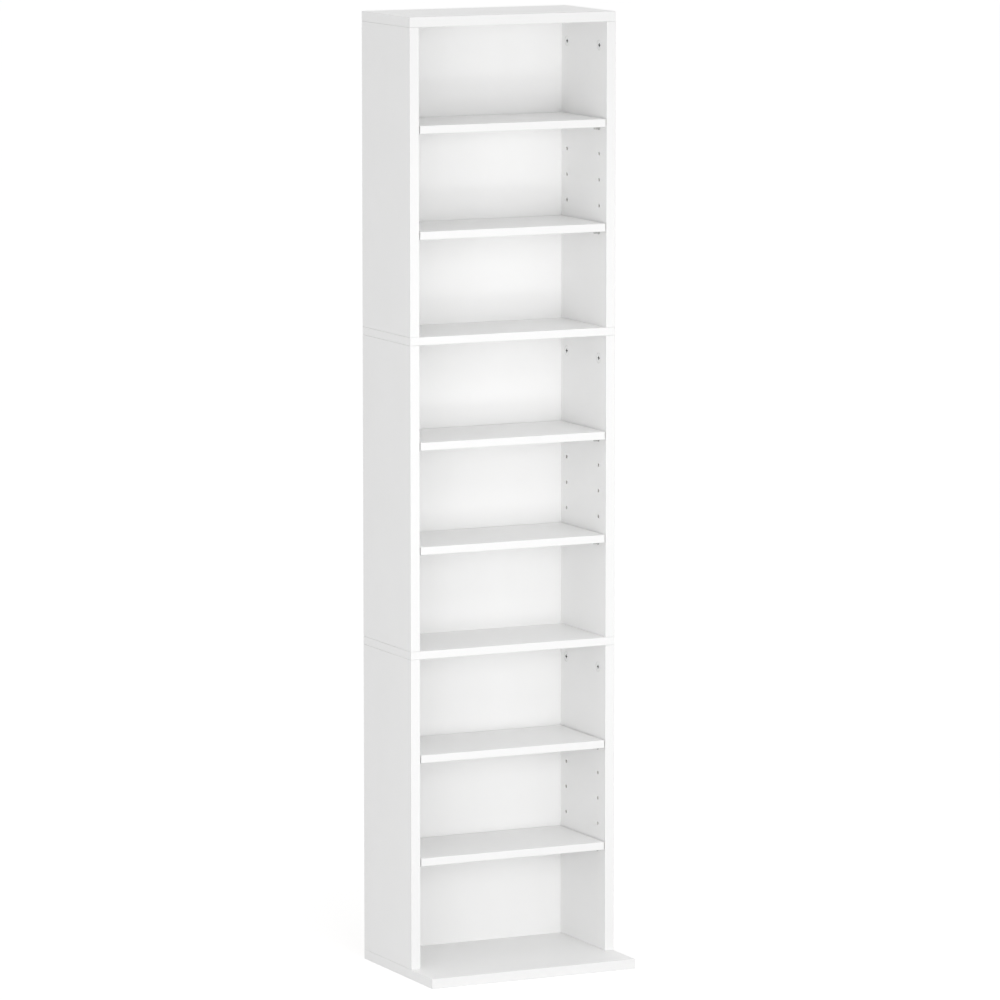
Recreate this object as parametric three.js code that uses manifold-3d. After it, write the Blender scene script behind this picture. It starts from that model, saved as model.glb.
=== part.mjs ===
// CD and DVD storage tower: a tall, open, flat-pack cabinet in white board.
//
// Three bays stand on a base that reaches forward as a foot. Each bay is a pair of side
// panels with a thin back panel in grooves and two loose shelves on steel pins. Boards as
// wide as the tower close and divide the bays. A cam lock near each corner of a bay pulls
// the side panel up against the board above it, by a bolt that is screwed into the top
// board, or through a divider into the panel of the next bay. Dowels glued into the panels'
// ends line the joints up, and screws from below hold the base.
//
// Units are millimetres. +Z is up and -Y is the open front. The origin is on the floor,
// under the middle of the box that the whole tower fills.

import * as THREE from 'three';
import { mergeVertices } from 'three/addons/utils/BufferGeometryUtils.js';
import Module from 'manifold-3d';

// Driving dimensions of the tower
const WIDTH = 334;
const HEIGHT = 1420;
const TOWER_DEPTH = 168;
const BASE_REACH = 72;
const CARCASS_THICKNESS = 15;
const SHELF_THICKNESS = 12;
const BACK_THICKNESS = 3;
const COMPARTMENT_DEPTH = 150;
const BAY_PANEL_HEIGHT = 451.5;
const EDGE_RADIUS = 1;

// Driving dimensions of the shelves, and of the two columns of holes and fittings
const TOP_COMPARTMENT_HEIGHT = 143;
const SHELF_SPACING = 154.25;
const SHELVES_PER_BAY = 2;
const HOLES_PER_SPACING = 4;
const SHELF_END_GAP = 1.5;
const SHELF_REAR_GAP = 1;
const FRONT_COLUMN = 24.5;
const REAR_COLUMN = 131.5;

// Shelf pins and their holes
const PIN_RADIUS = 2.5;
const PIN_IN_PANEL = 8.5;
const PIN_PROUD = 8.5;
const PIN_COLLAR_RADIUS = 3.75;
const PIN_COLLAR_THICKNESS = 1.25;
const PIN_HOLE_RADIUS = 2.625;
const PIN_HOLE_DEPTH = 9;

// Cam locks: a drum in a pocket, with a driver's cross in its face and a slot round its rim
const CAM_DROP = 36;
const CAM_RADIUS = 7.5;
const CAM_LENGTH = 12.25;
const CAM_BEVEL = 0.5;
const CAM_POCKET_RADIUS = 7.75;
const CAM_POCKET_DEPTH = 12.5;
const CAM_CROSS_SPAN = 7.5;
const CAM_CROSS_WIDTH = 2.6;
const CAM_CROSS_DEPTH = 2.75;
const CAM_SLOT_FLOOR = 5;
const CAM_SLOT_WIDTH = 4;
const CAM_SLOT_TURN = Math.PI / 2;
const CAM_MOUTH_RADIUS = 3.5;

// Cam bolts: a head in the drum, a neck in its slot, a shank, a collar and a thread
const BOLT_HEAD_LENGTH = 4;
const BOLT_NECK_RADIUS = 1.75;
const BOLT_NECK_LENGTH = 5;
const BOLT_SHANK_RADIUS = 3;
const BOLT_COLLAR_RADIUS = 3.5;
const BOLT_COLLAR_LENGTH = 2;
const BOLT_THREAD_RADIUS = 2.75;
const BOLT_IN_TOP_BOARD = 11;
const BOLT_IN_PANEL = 20;
const BOLT_BORE_RADIUS = 3.75;
const BOLT_CLEARANCE = 0.25;

// Dowels, one to each end of a side panel, and their holes
const DOWEL_RADIUS = 4;
const DOWEL_HOLE_RADIUS = 4.125;
const DOWEL_CHAMFER = 1;
const DOWEL_PROUD = 10;
const DOWEL_IN_NEXT_PANEL = 14;
const DOWEL_PLAY = 0.5;

// Countersunk screws that hold the base
const SCREW_LENGTH = 50;
const SCREW_RADIUS = 2.5;
const SCREW_HEAD_RADIUS = 4.5;
const SCREW_HEAD_HEIGHT = 3;
const SCREW_HEAD_SUNK = 0.25;
const SCREW_TIP_LENGTH = 4;
const SCREW_TIP_RADIUS = 0.75;
const SCREW_CLEARANCE = 0.25;
const SCREW_CROSS_SPAN = 4.5;
const SCREW_CROSS_WIDTH = 1;
const SCREW_CROSS_DEPTH = 2;

// Grooves for the back panels
const GROOVE_WIDTH = 3.25;
const GROOVE_IN_SIDE = 6;
const GROOVE_IN_BOARD = 5;
const GROOVE_IN_DIVIDER = 3.5;
const BACK_PLAY = 0.5;

// Facets: sides of a round piece or hole, and steps of a rounded edge
const ROUND_SIDES = 12;
const CAM_SIDES = 16;
const HIDDEN_SIDES = 8;
const SLOT_STEPS = 3;
const EDGE_STEPS = 2;
const OVERCUT = 1;

// Places worked out from the driving dimensions
const REAR = (TOWER_DEPTH + BASE_REACH) / 2;
const FRONT = REAR - TOWER_DEPTH;
const BASE_FRONT = FRONT - BASE_REACH;
const BACK_FRONT = FRONT + COMPARTMENT_DEPTH;
const INNER_HALF_WIDTH = WIDTH / 2 - CARCASS_THICKNESS;
const HALF_THICKNESS = CARCASS_THICKNESS / 2;
const LOWER_PANEL_HEIGHT = HEIGHT - 2 * (CARCASS_THICKNESS + SHELF_THICKNESS + BAY_PANEL_HEIGHT);
const HOLE_PITCH = SHELF_SPACING / HOLES_PER_SPACING;
const HOLES_PER_COLUMN = HOLES_PER_SPACING * (SHELVES_PER_BAY - 1) + 1;
const FIRST_PIN_DROP = TOP_COMPARTMENT_HEIGHT + SHELF_THICKNESS + PIN_RADIUS;
const HANDS = { left: -1, right: 1 };
const COLUMNS = { front: FRONT + FRONT_COLUMN, rear: FRONT + REAR_COLUMN };
const DOWEL_COLUMN = (COLUMNS.front + COLUMNS.rear) / 2;

// Finishes, one material for each piece made from them
const FINISHES = {
  whiteBoard: { color: 0xf1f1ef, roughness: 0.48, metalness: 0 },
  whiteBack: { color: 0xeeeeeb, roughness: 0.55, metalness: 0 },
  pinSteel: { color: 0x8d8f92, roughness: 0.32, metalness: 1 },
  camZinc: { color: 0xc9cacb, roughness: 0.42, metalness: 0.9 },
  screwSteel: { color: 0xb9b6ad, roughness: 0.35, metalness: 1 },
};

const wasm = await Module();
wasm.setup();

// Joining and cutting

// A closed geometry as a solid, with the collapsed triangles of a lathe's poles left out.
function toSolid(geometry) {
  const bare = geometry.clone();
  bare.deleteAttribute('normal');
  bare.deleteAttribute('uv');
  const merged = mergeVertices(bare);
  const corners = merged.index.array;
  const kept = [];
  for (let i = 0; i < corners.length; i += 3) {
    const [a, b, c] = corners.subarray(i, i + 3);
    if (a !== b && b !== c && c !== a) {
      kept.push(a, b, c);
    }
  }
  const vertProperties = new Float32Array(merged.attributes.position.array);
  const triVerts = new Uint32Array(kept);
  return new wasm.Manifold(new wasm.Mesh({ numProp: 3, vertProperties, triVerts }));
}

// A solid as a geometry that a mesh can show.
function toGeometry(solid) {
  const { vertProperties, triVerts } = solid.getMesh();
  const geometry = new THREE.BufferGeometry();
  geometry.setAttribute('position', new THREE.BufferAttribute(new Float32Array(vertProperties), 3));
  geometry.setIndex(new THREE.BufferAttribute(new Uint32Array(triVerts), 1));
  geometry.computeVertexNormals();
  return geometry;
}

// A geometry with some geometries joined to it, and then others taken out of it.
function shape(geometry, joined, taken) {
  let solid = toSolid(geometry);
  for (const extra of joined) {
    solid = solid.add(toSolid(extra));
  }
  for (const cutter of taken) {
    solid = solid.subtract(toSolid(cutter));
  }
  return toGeometry(solid);
}

// Basic forms

// A box between two corners.
function box(low, high) {
  const size = high.map((value, i) => value - low[i]);
  const centre = high.map((value, i) => (value + low[i]) / 2);
  return new THREE.BoxGeometry(...size).translate(...centre);
}

// A rectangle with rounded corners, for the cross-section of a board with eased long edges.
// A groove { side, from, to, depth } runs along its side of lowest u (-1) or highest u (1).
function boardOutline(u0, v0, u1, v1, groove = null) {
  const r = EDGE_RADIUS;
  const outline = new THREE.Shape();
  outline.moveTo(u0 + r, v0);
  outline.lineTo(u1 - r, v0);
  outline.absarc(u1 - r, v0 + r, r, -Math.PI / 2, 0);
  if (groove?.side > 0) {
    outline.lineTo(u1, groove.from);
    outline.lineTo(u1 - groove.depth, groove.from);
    outline.lineTo(u1 - groove.depth, groove.to);
    outline.lineTo(u1, groove.to);
  }
  outline.lineTo(u1, v1 - r);
  outline.absarc(u1 - r, v1 - r, r, 0, Math.PI / 2);
  outline.lineTo(u0 + r, v1);
  outline.absarc(u0 + r, v1 - r, r, Math.PI / 2, Math.PI);
  if (groove?.side < 0) {
    outline.lineTo(u0, groove.to);
    outline.lineTo(u0 + groove.depth, groove.to);
    outline.lineTo(u0 + groove.depth, groove.from);
    outline.lineTo(u0, groove.from);
  }
  outline.lineTo(u0, v0 + r);
  outline.absarc(u0 + r, v0 + r, r, Math.PI, 1.5 * Math.PI);
  return outline;
}

// An outline run straight up from z = 0.
function extruded(outline, depth) {
  return new THREE.ExtrudeGeometry(outline, { depth, bevelEnabled: false, curveSegments: EDGE_STEPS });
}

// A board that lies flat on z = 0, its cross-section run along X.
function flatBoard(width, front, rear, thickness) {
  const yzToX = new THREE.Matrix4().makeBasis(
    new THREE.Vector3(0, 1, 0),
    new THREE.Vector3(0, 0, 1),
    new THREE.Vector3(1, 0, 0),
  );
  return extruded(boardOutline(front, 0, rear, thickness), width)
    .applyMatrix4(yzToX)
    .translate(-width / 2, 0, 0);
}

// A solid turned about Z: its profile is [radius, height] points, from the lowest up.
function turned(profile, sides) {
  const points = profile.map(([radius, height]) => new THREE.Vector2(radius, height));
  return new THREE.LatheGeometry(points, sides).rotateX(Math.PI / 2);
}

// A plain round bar on Z, from one height to another.
function bar(from, to, radius, sides) {
  return turned([[0, from], [radius, from], [radius, to], [0, to]], sides);
}

// A round hole that stands on Z.
function uprightHole(x, y, from, to, radius, sides = HIDDEN_SIDES) {
  return bar(from, to, radius, sides).translate(x, y, 0);
}

// A round hole drilled into a side panel's inner face, away from the middle of the tower.
function faceHole(hand, y, z, depth, radius, sides) {
  return bar(-OVERCUT, depth, radius, sides)
    .rotateY((hand * Math.PI) / 2)
    .translate(hand * INNER_HALF_WIDTH, y, z);
}

// The cross of a driver's tip, sunk into a face at z = 0 whose material is on the +Z side.
function driverCross(span, width, depth) {
  const [half, thin] = [span / 2, width / 2];
  return [
    box([-half, -thin, -OVERCUT], [half, thin, depth]),
    box([-thin, -half, -OVERCUT], [thin, half, depth]),
  ];
}

// A named piece with a material of its own.
function piece(name, geometry, finish, place = [0, 0, 0]) {
  const mesh = new THREE.Mesh(geometry, new THREE.MeshStandardMaterial(FINISHES[finish]));
  mesh.name = name;
  mesh.position.set(...place);
  return mesh;
}

// Four like pieces, one for each column of each side, at a distance from the middle. Their
// geometry is that of the right-hand side, and is turned about for the left.
function fourPieces(name, geometry, finish, distance, z) {
  return Object.entries(HANDS).flatMap(([side, hand]) => (
    Object.entries(COLUMNS).map(([column, y]) => {
      const mesh = piece(`${name}_${side}_${column}`, geometry, finish, [hand * distance, y, z]);
      mesh.rotation.z = hand > 0 ? 0 : Math.PI;
      return mesh;
    })
  ));
}

// Boards that lie flat

// Holes on the centre lines of both side panels: a pair for the fittings and one for a dowel.
function jointHoles(from, fittingTo, fittingRadius, dowelTo) {
  return Object.values(HANDS).flatMap((hand) => {
    const x = hand * (INNER_HALF_WIDTH + HALF_THICKNESS);
    const fittings = Object.values(COLUMNS).map((y) => uprightHole(x, y, from, fittingTo, fittingRadius));
    return [...fittings, uprightHole(x, DOWEL_COLUMN, from, dowelTo, DOWEL_HOLE_RADIUS)];
  });
}

// The groove in a board's face that takes one edge of a back panel.
function boardGroove(from, to) {
  const half = INNER_HALF_WIDTH + GROOVE_IN_SIDE;
  return box([-half, BACK_FRONT, from], [half, BACK_FRONT + GROOVE_WIDTH, to]);
}

function makeTopBoard() {
  const boltHole = BOLT_THREAD_RADIUS + BOLT_CLEARANCE;
  const holes = jointHoles(-OVERCUT, BOLT_IN_TOP_BOARD + DOWEL_PLAY, boltHole, DOWEL_PROUD + DOWEL_PLAY);
  const groove = boardGroove(-OVERCUT, GROOVE_IN_BOARD);
  return shape(flatBoard(WIDTH, FRONT, REAR, CARCASS_THICKNESS), [], [...holes, groove]);
}

function makeDivider() {
  const through = SHELF_THICKNESS + OVERCUT;
  const holes = jointHoles(-OVERCUT, through, BOLT_THREAD_RADIUS + BOLT_CLEARANCE, through);
  const lowGroove = boardGroove(-OVERCUT, GROOVE_IN_DIVIDER);
  const highGroove = boardGroove(SHELF_THICKNESS - GROOVE_IN_DIVIDER, through);
  return shape(flatBoard(WIDTH, FRONT, REAR, SHELF_THICKNESS), [], [...holes, lowGroove, highGroove]);
}

// The base, with countersunk holes from below for its screws.
function makeBaseBoard() {
  const top = CARCASS_THICKNESS;
  const narrow = SCREW_RADIUS + SCREW_CLEARANCE;
  const wide = SCREW_HEAD_RADIUS + SCREW_CLEARANCE;
  const profile = [
    [0, -OVERCUT],
    [wide, -OVERCUT],
    [wide, SCREW_HEAD_SUNK],
    [narrow, SCREW_HEAD_SUNK + SCREW_HEAD_HEIGHT],
    [narrow, top + OVERCUT],
    [0, top + OVERCUT],
  ];
  const holes = Object.values(HANDS).flatMap((hand) => {
    const x = hand * (INNER_HALF_WIDTH + HALF_THICKNESS);
    const screws = Object.values(COLUMNS).map((y) => turned(profile, ROUND_SIDES).translate(x, y, 0));
    const floor = top - DOWEL_PROUD;
    return [...screws, uprightHole(x, DOWEL_COLUMN, floor, top + OVERCUT, DOWEL_HOLE_RADIUS)];
  });
  const groove = boardGroove(top - GROOVE_IN_BOARD, top + OVERCUT);
  return shape(flatBoard(WIDTH, BASE_FRONT, REAR, CARCASS_THICKNESS), [], [...holes, groove]);
}

function makeShelf() {
  const width = 2 * (INNER_HALF_WIDTH - SHELF_END_GAP);
  return flatBoard(width, FRONT, BACK_FRONT - SHELF_REAR_GAP, SHELF_THICKNESS);
}

// Side panels

// A dowel's proud end, from inside the panel's end at z = 0 up to its chamfered tip.
function dowelEnd(proud) {
  const profile = [
    [0, -DOWEL_PROUD],
    [DOWEL_RADIUS, -DOWEL_PROUD],
    [DOWEL_RADIUS, proud - DOWEL_CHAMFER],
    [DOWEL_RADIUS - DOWEL_CHAMFER, proud],
    [0, proud],
  ];
  return turned(profile, HIDDEN_SIDES);
}

// A side panel on z = 0 with its grooves, holes and glued dowels. bay.hole is the radius
// and depth of the holes in its lower end, and bay.dowelAbove what its dowel reaches up.
function makeSidePanel(hand, bay) {
  const { height, hole } = bay;
  const [inner, outer] = [hand * INNER_HALF_WIDTH, (hand * WIDTH) / 2];
  const middle = hand * (INNER_HALF_WIDTH + HALF_THICKNESS);
  const groove = { side: -hand, from: BACK_FRONT, to: BACK_FRONT + GROOVE_WIDTH, depth: GROOVE_IN_SIDE };
  const outline = boardOutline(Math.min(inner, outer), FRONT, Math.max(inner, outer), REAR, groove);
  const dowels = [dowelEnd(bay.dowelAbove).translate(middle, DOWEL_COLUMN, height)];
  const holes = [];
  for (const y of Object.values(COLUMNS)) {
    for (let row = 0; row < HOLES_PER_COLUMN; row += 1) {
      const z = height - FIRST_PIN_DROP - row * HOLE_PITCH;
      holes.push(faceHole(hand, y, z, PIN_HOLE_DEPTH, PIN_HOLE_RADIUS, ROUND_SIDES));
    }
    holes.push(faceHole(hand, y, height - CAM_DROP, CAM_POCKET_DEPTH, CAM_POCKET_RADIUS, CAM_SIDES));
    holes.push(uprightHole(middle, y, height - CAM_DROP, height + OVERCUT, BOLT_BORE_RADIUS));
    holes.push(uprightHole(middle, y, -OVERCUT, hole.depth, hole.radius));
  }
  if (bay.dowelBelow > 0) {
    dowels.push(dowelEnd(bay.dowelBelow).rotateX(Math.PI).translate(middle, DOWEL_COLUMN, 0));
  } else {
    const depth = DOWEL_IN_NEXT_PANEL + DOWEL_PLAY;
    holes.push(uprightHole(middle, DOWEL_COLUMN, -OVERCUT, depth, DOWEL_HOLE_RADIUS));
  }
  return shape(extruded(outline, height), dowels, holes);
}

// Back panels

// A back panel, from the floor of the groove below it to just short of the roof of the one
// above it.
function makeBackPanel(height, grooveBelow, grooveAbove) {
  const half = INNER_HALF_WIDTH + GROOVE_IN_SIDE - BACK_PLAY;
  const low = [-half, BACK_FRONT, -grooveBelow];
  return box(low, [half, BACK_FRONT + BACK_THICKNESS, height + grooveAbove - BACK_PLAY]);
}

// Fasteners, each as it sits in a right-hand side panel

// A shelf pin on X: the collar bears on the panel's inner face at x = 0.
function makeShelfPin() {
  const profile = [
    [0, -PIN_IN_PANEL],
    [PIN_RADIUS, -PIN_IN_PANEL],
    [PIN_RADIUS, 0],
    [PIN_COLLAR_RADIUS, 0],
    [PIN_COLLAR_RADIUS, PIN_COLLAR_THICKNESS],
    [PIN_RADIUS, PIN_COLLAR_THICKNESS],
    [PIN_RADIUS, PIN_PROUD],
    [0, PIN_PROUD],
  ];
  return turned(profile, ROUND_SIDES).rotateY(-Math.PI / 2);
}

// The slot round a cam's rim that the bolt's neck turns into, and the mouth at its far end
// that let the bolt's head in. The drum stands on Z, and the bolt leaves it towards +Y.
function camSlot(depth) {
  const past = CAM_RADIUS + OVERCUT;
  const ring = new THREE.Shape();
  ring.absarc(0, 0, past, 0, CAM_SLOT_TURN);
  ring.absarc(0, 0, CAM_SLOT_FLOOR, CAM_SLOT_TURN, 0, true);
  const slot = new THREE.ExtrudeGeometry(ring, {
    depth: CAM_SLOT_WIDTH,
    bevelEnabled: false,
    curveSegments: SLOT_STEPS,
  }).translate(0, 0, depth - CAM_SLOT_WIDTH / 2);
  const mouth = bar(CAM_SLOT_FLOOR - BOLT_HEAD_LENGTH, past, CAM_MOUTH_RADIUS, HIDDEN_SIDES)
    .rotateY(Math.PI / 2)
    .translate(0, 0, depth);
  return [slot, mouth];
}

// A cam lock turned shut on its bolt: the drum's face is at x = 0, its bolt points up, and
// the bolt's collar bears on the board above. threadLength is what the bolt reaches above it.
function makeCamLock(threadLength) {
  const drumProfile = [
    [0, 0],
    [CAM_RADIUS - CAM_BEVEL, 0],
    [CAM_RADIUS, CAM_BEVEL],
    [CAM_RADIUS, CAM_LENGTH],
    [0, CAM_LENGTH],
  ];
  const neckTop = CAM_RADIUS + BOLT_NECK_LENGTH - OVERCUT;
  const boltProfile = [
    [0, 0],
    [BOLT_NECK_RADIUS, 0],
    [BOLT_NECK_RADIUS, neckTop],
    [BOLT_SHANK_RADIUS, neckTop],
    [BOLT_SHANK_RADIUS, CAM_DROP - BOLT_COLLAR_LENGTH],
    [BOLT_COLLAR_RADIUS, CAM_DROP - BOLT_COLLAR_LENGTH],
    [BOLT_COLLAR_RADIUS, CAM_DROP],
    [BOLT_THREAD_RADIUS, CAM_DROP],
    [BOLT_THREAD_RADIUS, CAM_DROP + threadLength],
    [0, CAM_DROP + threadLength],
  ];
  const cross = driverCross(CAM_CROSS_SPAN, CAM_CROSS_WIDTH, CAM_CROSS_DEPTH);
  const drum = shape(turned(drumProfile, CAM_SIDES), [], [...camSlot(HALF_THICKNESS), ...cross]);
  const bolt = turned(boltProfile, HIDDEN_SIDES).rotateX(-Math.PI / 2).translate(0, 0, HALF_THICKNESS);
  const drumToPanel = new THREE.Matrix4().makeBasis(
    new THREE.Vector3(0, 1, 0),
    new THREE.Vector3(0, 0, 1),
    new THREE.Vector3(1, 0, 0),
  );
  return shape(drum, [bolt], []).applyMatrix4(drumToPanel);
}

// A countersunk screw, its head down at z = 0.
function makeBaseScrew() {
  const profile = [
    [0, 0],
    [SCREW_HEAD_RADIUS, 0],
    [SCREW_RADIUS, SCREW_HEAD_HEIGHT],
    [SCREW_RADIUS, SCREW_LENGTH - SCREW_TIP_LENGTH],
    [SCREW_TIP_RADIUS, SCREW_LENGTH],
    [0, SCREW_LENGTH],
  ];
  const cross = driverCross(SCREW_CROSS_SPAN, SCREW_CROSS_WIDTH, SCREW_CROSS_DEPTH);
  return shape(turned(profile, ROUND_SIDES), [], cross);
}

// Assembly

// One bay in a group that stands on its floor: side panels, back panel, shelves with their
// pins, and the cam locks that hold the board above.
function makeBay(bay) {
  const group = new THREE.Group();
  group.position.z = bay.floor;
  for (const [side, hand] of Object.entries(HANDS)) {
    group.add(piece(`side_${side}_${bay.level}`, makeSidePanel(hand, bay), 'whiteBoard'));
  }
  const back = makeBackPanel(bay.height, bay.grooveBelow, bay.grooveAbove);
  group.add(piece(`back_panel_${bay.level}`, back, 'whiteBack'));
  for (let i = 0; i < SHELVES_PER_BAY; i += 1) {
    const number = bay.firstShelf + i;
    const underside = bay.height - TOP_COMPARTMENT_HEIGHT - SHELF_THICKNESS - i * SHELF_SPACING;
    const pinHeight = underside - PIN_RADIUS;
    group.add(piece(`shelf_${number}`, makeShelf(), 'whiteBoard', [0, 0, underside]));
    group.add(...fourPieces(`shelf_pin_${number}`, makeShelfPin(), 'pinSteel', INNER_HALF_WIDTH, pinHeight));
  }
  const cam = makeCamLock(bay.threadLength);
  group.add(...fourPieces(`cam_lock_${bay.level}`, cam, 'camZinc', INNER_HALF_WIDTH, bay.height - CAM_DROP));
  return group;
}

function makeTower() {
  const lowerDivider = CARCASS_THICKNESS + LOWER_PANEL_HEIGHT;
  const upperDivider = lowerDivider + SHELF_THICKNESS + BAY_PANEL_HEIGHT;
  const topBoard = HEIGHT - CARCASS_THICKNESS;
  const screwHole = {
    radius: SCREW_RADIUS + SCREW_CLEARANCE,
    depth: SCREW_HEAD_SUNK + SCREW_LENGTH - CARCASS_THICKNESS + SCREW_CLEARANCE,
  };
  const boltHole = { radius: BOLT_THREAD_RADIUS + BOLT_CLEARANCE, depth: BOLT_IN_PANEL + BOLT_CLEARANCE };
  const toNextPanel = {
    grooveAbove: GROOVE_IN_DIVIDER,
    dowelAbove: SHELF_THICKNESS + DOWEL_IN_NEXT_PANEL,
    threadLength: SHELF_THICKNESS + BOLT_IN_PANEL,
  };
  const toTopBoard = {
    grooveAbove: GROOVE_IN_BOARD,
    dowelAbove: DOWEL_PROUD,
    threadLength: BOLT_IN_TOP_BOARD,
  };
  const onDivider = {
    height: BAY_PANEL_HEIGHT,
    grooveBelow: GROOVE_IN_DIVIDER,
    hole: boltHole,
    dowelBelow: 0,
  };
  const screw = makeBaseScrew();
  const screwDistance = INNER_HALF_WIDTH + HALF_THICKNESS;
  const tower = new THREE.Group();
  tower.add(
    piece('base_board', makeBaseBoard(), 'whiteBoard'),
    piece('lower_divider', makeDivider(), 'whiteBoard', [0, 0, lowerDivider]),
    piece('upper_divider', makeDivider(), 'whiteBoard', [0, 0, upperDivider]),
    piece('top_board', makeTopBoard(), 'whiteBoard', [0, 0, topBoard]),
    makeBay({
      level: 'lower',
      floor: CARCASS_THICKNESS,
      height: LOWER_PANEL_HEIGHT,
      grooveBelow: GROOVE_IN_BOARD,
      hole: screwHole,
      dowelBelow: DOWEL_PROUD,
      firstShelf: 5,
      ...toNextPanel,
    }),
    makeBay({
      level: 'middle',
      floor: lowerDivider + SHELF_THICKNESS,
      firstShelf: 3,
      ...onDivider,
      ...toNextPanel,
    }),
    makeBay({
      level: 'upper',
      floor: upperDivider + SHELF_THICKNESS,
      firstShelf: 1,
      ...onDivider,
      ...toTopBoard,
    }),
    ...fourPieces('base_screw', screw, 'screwSteel', screwDistance, SCREW_HEAD_SUNK),
  );
  return tower;
}

export default makeTower();
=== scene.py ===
"""The looks of a tall white storage tower for discs, built round its CAD parts.

Lengths are in metres, in the frame of the CAD parts: +Z is up, -Y is the open front, and
the tower stands on Z = 0. Every piece keeps the place of the CAD part that it stands for
and rides on the same body, so that the shelves draw out of the tower by themselves.
"""

from __future__ import annotations

import logging
import math
from collections.abc import Callable
from dataclasses import dataclass, field
from enum import Enum
from itertools import product

import bmesh
import bpy
from mathutils import Matrix, Vector

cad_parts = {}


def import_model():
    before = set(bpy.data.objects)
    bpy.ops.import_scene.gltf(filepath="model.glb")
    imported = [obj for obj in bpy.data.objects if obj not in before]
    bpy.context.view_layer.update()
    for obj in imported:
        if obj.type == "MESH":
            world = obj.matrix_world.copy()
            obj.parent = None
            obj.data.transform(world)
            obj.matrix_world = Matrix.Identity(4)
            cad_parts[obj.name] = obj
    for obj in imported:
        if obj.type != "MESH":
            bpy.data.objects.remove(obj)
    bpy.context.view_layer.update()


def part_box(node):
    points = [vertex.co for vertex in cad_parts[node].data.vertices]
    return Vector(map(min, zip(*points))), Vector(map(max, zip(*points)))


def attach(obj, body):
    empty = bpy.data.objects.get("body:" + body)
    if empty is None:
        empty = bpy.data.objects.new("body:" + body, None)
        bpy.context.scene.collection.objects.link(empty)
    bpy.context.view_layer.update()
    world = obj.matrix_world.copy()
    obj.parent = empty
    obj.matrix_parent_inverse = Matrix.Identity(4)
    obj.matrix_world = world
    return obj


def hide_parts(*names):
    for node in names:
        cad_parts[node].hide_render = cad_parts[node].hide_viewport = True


LOG = logging.getLogger("tower")
CARCASS = "carcass"
MM = 0.001

# Places that several pieces share
INNER_FACE = 152 * MM
PANEL_MIDDLE = 159.5 * MM
GROOVE_END = 158 * MM
GROOVE_FRONT = 102 * MM
GROOVE_WIDTH = 3.25 * MM
DOWEL_Y = 30 * MM
CAM_DROP = 36 * MM
TOWER_FRONT = -48 * MM
BASE_FRONT = -120 * MM

# Sizes that several pieces share
SHELVES = 6
BOLT_HOLE = 3 * MM
DOWEL_HOLE = 4.125 * MM
SCREW_HOLE = 2.75 * MM
PANEL_THICKNESS = 15 * MM
BOARD_EDGE = 0.8 * MM
BOARD_END = 0.65 * MM

# How finely the pieces are worked
OVERCUT = 1 * MM
HOLE_SIDES = 32
EDGE_FACETS = 5
END_FACETS = 2
SAME_PLACE = 0.01 * MM
WELD = 0.001 * MM
SPIN_STEP = math.radians(8)
SMOOTH_BELOW = math.radians(35)
FACING = 0.5

# How Blender's patterns run: the middle of a noise's values, and a wave's turn at scale 1
NOISE_MIDDLE = (0.3, 0.7)
WAVE_TURN = 20

Colour = tuple[float, float, float]
Triple = tuple[float, float, float]
Profile = list[tuple[float, float]]
Socket = bpy.types.NodeSocket
Inputs = dict[str | int, float | Triple | Socket]
Test = Callable[..., bool]

WHITE: Colour = (1, 1, 1)


class Named(Enum):
    """A choice whose name is also a word in the nodes' names."""

    @property
    def word(self) -> str:
        """The name as the nodes have it."""
        return self.name.lower()


class Hand(Named):
    """The tower's two sides, each with the sign of its X."""

    LEFT = -1
    RIGHT = 1


class Column(Named):
    """The two upright lines of holes and fittings in a side panel, each with its Y."""

    FRONT = -23.5 * MM
    REAR = 83.5 * MM


class Level(Named):
    """The tower's three bays, each with the boards that it stands between."""

    LOWER = ("base_board", "lower_divider")
    MIDDLE = ("lower_divider", "upper_divider")
    UPPER = ("upper_divider", "top_board")

    @property
    def floor(self) -> float:
        """The height of the upper face of the board below."""
        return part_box(self.value[0])[1].z

    @property
    def roof(self) -> float:
        """The height of the lower face of the board above."""
        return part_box(self.value[1])[0].z


class Slot(Enum):
    """The names of the material slots that go with the pieces' finishes."""

    BOARD = "white_board"
    BACK = "white_back"
    PIN = "pin_steel"
    CAM = "cam_zinc"
    SCREW = "screw_steel"


class Pick(Enum):
    """What edit mode selects."""

    VERTICES = "VERT"
    EDGES = "EDGE"
    FACES = "FACE"


class Axis(Enum):
    """The direction that a board's length or a drill runs in."""

    X = 0
    Z = 2


# Shaping


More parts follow.
